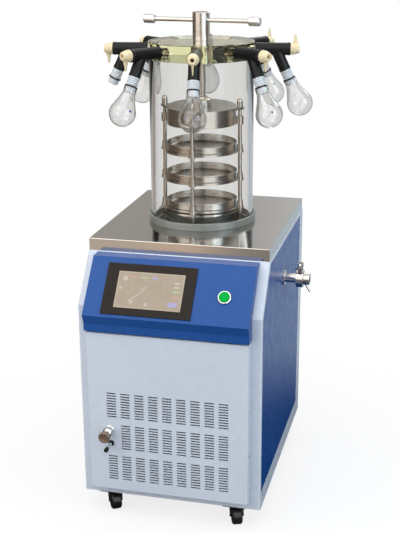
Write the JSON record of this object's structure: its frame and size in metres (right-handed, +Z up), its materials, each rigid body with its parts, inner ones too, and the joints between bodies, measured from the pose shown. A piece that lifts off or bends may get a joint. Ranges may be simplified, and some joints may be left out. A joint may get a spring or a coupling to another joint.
{
  "type": "freeze dryer",
  "caption": "Bench freeze dryer on casters: refrigerated cabinet, clear drying chamber with tray rack and stoppering press, and a manifold lid with rubber flask valves.",
  "frame": {"origin": "centre of the bounding box's underside, on the floor", "axes": "+Z up, -Y is the front with the screen and the door, +X to the right of someone facing the screen"},
  "size_m": [0.5004, 0.6412, 1.1318],
  "materials": {
    "white_paint": "satin powder coat",
    "blue_paint": "satin powder coat",
    "stainless_steel": "satin",
    "polished_steel": "mirror",
    "chrome_trim": "polished",
    "zinc_steel": "matte",
    "satin_aluminium": "satin",
    "aluminium_fin": "matte",
    "copper_tube": "satin",
    "bronze_knob": "knurled",
    "black_paint": "satin",
    "black_rubber": "satin",
    "seal_rubber": "translucent satin",
    "caster_tyre": "matte",
    "black_plastic": "matte",
    "cream_plastic": "satin",
    "white_plastic": "gloss",
    "green_plastic": "gloss, lit",
    "screen_face": "gloss, lit screen",
    "foam": "matte",
    "clear_acrylic": "clear",
    "lid_acrylic": "clear with a yellow-green edge",
    "flask_glass": "clear"
  },
  "bodies": {
    "cabinet": {"cabinet_frame": "white_paint", "side_panels": "blue_paint", "front_panel": "white_paint", "console": "blue_paint", "back_panel": "white_paint", "base_pan": "zinc_steel", "top_plate": "polished_steel", "screen_bezel": "black_plastic", "screen_glass": "screen_face", "button_ring": "chrome_trim", "power_inlet": "black_plastic", "drain_valve": "chrome_trim", "drain_spout": "chrome_trim", "vacuum_port": "polished_steel", "kf_clamp": "polished_steel", "port_stub": "polished_steel", "cold_trap": "polished_steel", "trap_coil": "copper_tube", "trap_insulation": "foam", "compressor": "black_paint", "condenser": "aluminium_fin", "fan_frame": "zinc_steel", "base_seal": "seal_rubber", "chamber_tube": "clear_acrylic", "lid": "lid_acrylic", "lid_bushing": "stainless_steel", "port_nipples": "cream_plastic", "valve_bodies": "black_rubber", "flask_adaptors": "white_plastic", "flasks": "flask_glass", "rack_rods": "stainless_steel", "rack_nuts": "stainless_steel", "rack_shelves": "stainless_steel", "rack_trays": "stainless_steel", "caster_plates": "zinc_steel"},
    "press_hub_body": {"press_hub": "stainless_steel", "press_bar": "stainless_steel", "bar_knobs": "satin_aluminium"},
    "press_ram": {"press_screw": "stainless_steel", "press_plate": "stainless_steel"},
    "plug_1": {"valve_plug_1": "cream_plastic"},
    "plug_2": {"valve_plug_2": "cream_plastic"},
    "plug_3": {"valve_plug_3": "cream_plastic"},
    "plug_4": {"valve_plug_4": "cream_plastic"},
    "plug_5": {"valve_plug_5": "cream_plastic"},
    "plug_6": {"valve_plug_6": "cream_plastic"},
    "plug_7": {"valve_plug_7": "cream_plastic"},
    "plug_8": {"valve_plug_8": "cream_plastic"},
    "power_button": {"button_cap": "green_plastic"},
    "drain_handwheel": {"drain_knob": "bronze_knob"},
    "clamp_nut": {"wing_nut": "polished_steel"},
    "fan_rotor": {"fan_blade": "black_plastic"},
    "caster_1": {"caster_fork_1": "black_paint"},
    "wheel_1": {"caster_wheel_1": "caster_tyre"},
    "caster_2": {"caster_fork_2": "black_paint"},
    "wheel_2": {"caster_wheel_2": "caster_tyre"},
    "caster_3": {"caster_fork_3": "black_paint"},
    "wheel_3": {"caster_wheel_3": "caster_tyre"},
    "caster_4": {"caster_fork_4": "black_paint"},
    "wheel_4": {"caster_wheel_4": "caster_tyre"}
  },
  "joints": [
    {"name": "press_turn", "type": "hinge", "parent": "cabinet", "child": "press_hub_body", "pos_m": [-0.02553, 0.06437, 1.0675], "axis": [0, 0, 1], "range_deg": [0, 3150]},
    {"name": "press_slide", "type": "slide", "parent": "cabinet", "child": "press_ram", "axis": [0, 0, -1], "range_m": [0, 0.0355]},
    {"name": "plug_1_turn", "type": "hinge", "parent": "cabinet", "child": "plug_1", "pos_m": [-0.22831, 0.03226, 1.049], "axis": [-0.9877, -0.1564, 0], "range_deg": [0, 180]},
    {"name": "plug_2_turn", "type": "hinge", "parent": "cabinet", "child": "plug_2", "pos_m": [-0.14621, -0.10172, 1.049], "axis": [-0.5878, -0.809, 0], "range_deg": [0, 180]},
    {"name": "plug_3_turn", "type": "hinge", "parent": "cabinet", "child": "plug_3", "pos_m": [0.00658, -0.1384, 1.049], "axis": [0.1564, -0.9877, 0], "range_deg": [0, 180]},
    {"name": "plug_4_turn", "type": "hinge", "parent": "cabinet", "child": "plug_4", "pos_m": [0.14056, -0.0563, 1.049], "axis": [0.809, -0.5878, 0], "range_deg": [0, 180]},
    {"name": "plug_5_turn", "type": "hinge", "parent": "cabinet", "child": "plug_5", "pos_m": [0.17724, 0.09649, 1.049], "axis": [0.9877, 0.1564, 0], "range_deg": [0, 180]},
    {"name": "plug_6_turn", "type": "hinge", "parent": "cabinet", "child": "plug_6", "pos_m": [0.09514, 0.23046, 1.049], "axis": [0.5878, 0.809, 0], "range_deg": [0, 180]},
    {"name": "plug_7_turn", "type": "hinge", "parent": "cabinet", "child": "plug_7", "pos_m": [-0.05765, 0.26715, 1.049], "axis": [-0.1564, 0.9877, 0], "range_deg": [0, 180]},
    {"name": "plug_8_turn", "type": "hinge", "parent": "cabinet", "child": "plug_8", "pos_m": [-0.19162, 0.18504, 1.049], "axis": [-0.809, 0.5878, 0], "range_deg": [0, 180]},
    {"name": "button_press", "type": "slide", "parent": "cabinet", "child": "power_button", "axis": [0, 0.7706, -0.6373], "range_m": [0, 0.003], "stiffness_N_per_m": 400, "springref_m": -0.001},
    {"name": "drain_turn", "type": "hinge", "parent": "cabinet", "child": "drain_handwheel", "pos_m": [-0.16083, -0.27563, 0.2286], "axis": [0, -1, 0], "range_deg": [0, 900]},
    {"name": "clamp_nut_turn", "type": "hinge", "parent": "cabinet", "child": "clamp_nut", "pos_m": [0.22347, 0.00967, 0.556], "axis": [0, -1, 0], "range_deg": [0, 1800]},
    {"name": "fan_spin", "type": "hinge", "parent": "cabinet", "child": "fan_rotor", "pos_m": [-0.02553, -0.19763, 0.19], "axis": [0, 1, 0], "continuous": true},
    {"name": "caster_1_swivel", "type": "hinge", "parent": "cabinet", "child": "caster_1", "pos_m": [-0.17353, -0.22263, 0.049], "axis": [0, 0, 1], "continuous": true},
    {"name": "wheel_1_roll", "type": "hinge", "parent": "caster_1", "child": "wheel_1", "pos_m": [-0.16853, -0.23129, 0.022], "axis": [0.866, 0.5, 0], "continuous": true},
    {"name": "caster_2_swivel", "type": "hinge", "parent": "cabinet", "child": "caster_2", "pos_m": [0.12247, -0.22263, 0.049], "axis": [0, 0, 1], "continuous": true},
    {"name": "wheel_2_roll", "type": "hinge", "parent": "caster_2", "child": "wheel_2", "pos_m": [0.12589, -0.23203, 0.022], "axis": [0.9397, 0.342, 0], "continuous": true},
    {"name": "caster_3_swivel", "type": "hinge", "parent": "cabinet", "child": "caster_3", "pos_m": [-0.17353, 0.27137, 0.049], "axis": [0, 0, 1], "continuous": true},
    {"name": "wheel_3_roll", "type": "hinge", "parent": "caster_3", "child": "wheel_3", "pos_m": [-0.16534, 0.26564, 0.022], "axis": [0.5736, 0.8192, 0], "continuous": true},
    {"name": "caster_4_swivel", "type": "hinge", "parent": "cabinet", "child": "caster_4", "pos_m": [0.12247, 0.27137, 0.049], "axis": [0, 0, 1], "continuous": true},
    {"name": "wheel_4_roll", "type": "hinge", "parent": "caster_4", "child": "wheel_4", "pos_m": [0.11905, 0.26198, 0.022], "axis": [0.9397, -0.342, 0], "continuous": true}
  ],
  "couplings": [
    {"joint": "press_slide", "follows": "press_turn", "m_per_rad": 0.00063662}
  ]
}
